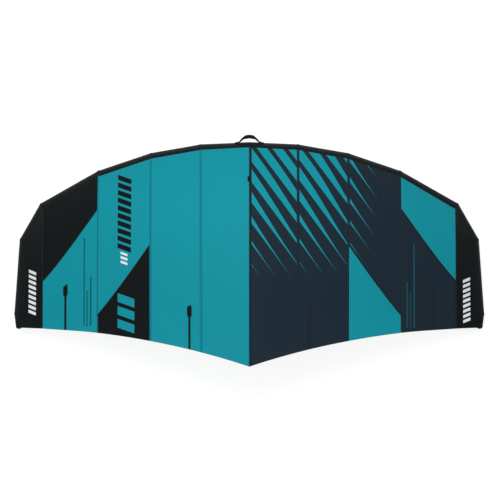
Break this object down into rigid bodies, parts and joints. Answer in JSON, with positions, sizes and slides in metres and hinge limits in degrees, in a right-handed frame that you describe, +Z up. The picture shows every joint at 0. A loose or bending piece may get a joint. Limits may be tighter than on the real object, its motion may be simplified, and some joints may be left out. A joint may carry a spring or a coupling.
{
  "type": "inflatable hand wing",
  "caption": "Inflatable hand wing for foiling: swept leading edge tube, centre strut and panelled canopy with battens, straps, valve, air hose and leash loop.",
  "frame": {"origin": "on the ground, under the middle of the wing's box, with the wing lying canopy up on its two tips", "axes": "+X across the span towards the wing's right half, +Y towards the leading edge, +Z up, off the canopy's upper side"},
  "size_m": [3.6028, 1.9144, 0.7582],
  "materials": {
    "tube_cloth": "woven polyester, matt black",
    "canopy_teal": "ripstop, teal",
    "canopy_navy": "ripstop, dark navy",
    "canopy_black": "ripstop, black",
    "bladder_film": "translucent film",
    "webbing": "woven webbing and tape, black",
    "grip_foam": "dense foam, black",
    "valve_plastic": "moulded, black",
    "hose_rubber": "smooth, grey",
    "clip_plastic": "moulded, red",
    "steel": "plain",
    "batten_strip": "glass fibre strip",
    "pad_rubber": "matt black"
  },
  "bodies": {
    "wing": {"leading_edge_left_1": "tube_cloth", "leading_edge_left_2": "tube_cloth", "leading_edge_left_3": "tube_cloth", "leading_edge_left_4": "tube_cloth", "leading_edge_left_5": "tube_cloth", "leading_edge_right_1": "tube_cloth", "leading_edge_right_2": "tube_cloth", "leading_edge_right_3": "tube_cloth", "leading_edge_right_4": "tube_cloth", "leading_edge_right_5": "tube_cloth", "leading_edge_bladder": "bladder_film", "strut_front": "tube_cloth", "strut_rear": "tube_cloth", "strut_bladder": "bladder_film", "canopy_left_1": "canopy_teal", "canopy_left_2": "canopy_teal", "canopy_left_3_front": "canopy_teal", "canopy_left_3_rear": "canopy_black", "canopy_left_4_front": "canopy_black", "canopy_left_4_rear": "canopy_teal", "canopy_left_tip": "canopy_black", "canopy_right_1": "canopy_navy", "canopy_right_2": "canopy_navy", "canopy_right_3_front": "canopy_navy", "canopy_right_3_rear": "canopy_teal", "canopy_right_4_front": "canopy_teal", "canopy_right_4_rear": "canopy_navy", "canopy_right_tip": "canopy_black", "trailing_edge_tape": "webbing", "batten_pocket_left_inner": "webbing", "batten_pocket_left_outer": "webbing", "batten_pocket_right_inner": "webbing", "batten_pocket_right_outer": "webbing", "batten_left_inner": "batten_strip", "batten_left_outer": "batten_strip", "batten_right_inner": "batten_strip", "batten_right_outer": "batten_strip", "loop_handle_patch": "webbing", "strut_patch_front": "webbing", "strut_patch_rear": "webbing", "valve_collar": "valve_plastic", "valve_cap_ring": "valve_plastic", "tube_spout": "valve_plastic", "strut_spout": "valve_plastic", "air_hose": "hose_rubber", "hose_clamp_front": "steel", "hose_clamp_rear": "steel", "clip_fixed_arm": "clip_plastic", "tip_pad_left": "pad_rubber", "tip_pad_right": "pad_rubber"},
    "loop_handle": {"loop_handle": "webbing"},
    "front_handle": {"front_handle_strap": "webbing", "front_handle_grip": "grip_foam"},
    "rear_handle": {"rear_handle_strap": "webbing", "rear_handle_grip": "grip_foam"},
    "leash_loop": {"leash_loop": "webbing"},
    "valve_body": {"valve_body": "valve_plastic"},
    "valve_flap": {"valve_flap": "hose_rubber"},
    "valve_cap": {"valve_cap": "valve_plastic"},
    "clip_arm": {"clip_swing_arm": "clip_plastic"}
  },
  "joints": [
    {"name": "loop_handle_swing", "type": "hinge", "parent": "wing", "child": "loop_handle", "pos_m": [0, 0.91089, 0.59255], "axis": [1, 0, 0], "range_deg": [-55, 55], "stiffness_Nm_per_rad": 0.4},
    {"name": "front_handle_swing", "type": "hinge", "parent": "wing", "child": "front_handle", "pos_m": [0, 0.45595, 0.58271], "axis": [0, -0.9992, 0.04], "range_deg": [-75, 75]},
    {"name": "rear_handle_swing", "type": "hinge", "parent": "wing", "child": "rear_handle", "pos_m": [0, -0.12674, 0.56527], "axis": [0, -0.9921, -0.1253], "range_deg": [-75, 75]},
    {"name": "leash_loop_swing", "type": "hinge", "parent": "wing", "child": "leash_loop", "pos_m": [0, 0.54593, 0.56853], "axis": [1, 0, 0], "range_deg": [-60, 60]},
    {"name": "valve_body_turn", "type": "hinge", "parent": "wing", "child": "valve_body", "pos_m": [-0.18118, 0.77641, 0.3788], "axis": [0.0792, -0.2568, -0.9632], "range_deg": [0, 90]},
    {"name": "valve_flap_lift", "type": "hinge", "parent": "valve_body", "child": "valve_flap", "pos_m": [-0.16581, 0.77862, 0.3871], "axis": [0, 0.9663, -0.2576], "range_deg": [0, 35], "stiffness_Nm_per_rad": 0.005},
    {"name": "valve_cap_open", "type": "hinge", "parent": "wing", "child": "valve_cap", "pos_m": [-0.14538, 0.77254, 0.3643], "axis": [0, -0.9663, 0.2576], "range_deg": [0, 150]},
    {"name": "clip_arm_swing", "type": "hinge", "parent": "wing", "child": "clip_arm", "pos_m": [0.14243, 0.52918, 0.48408], "axis": [-0.0203, -0.748, 0.6633], "range_deg": [-26, 50]}
  ]
}
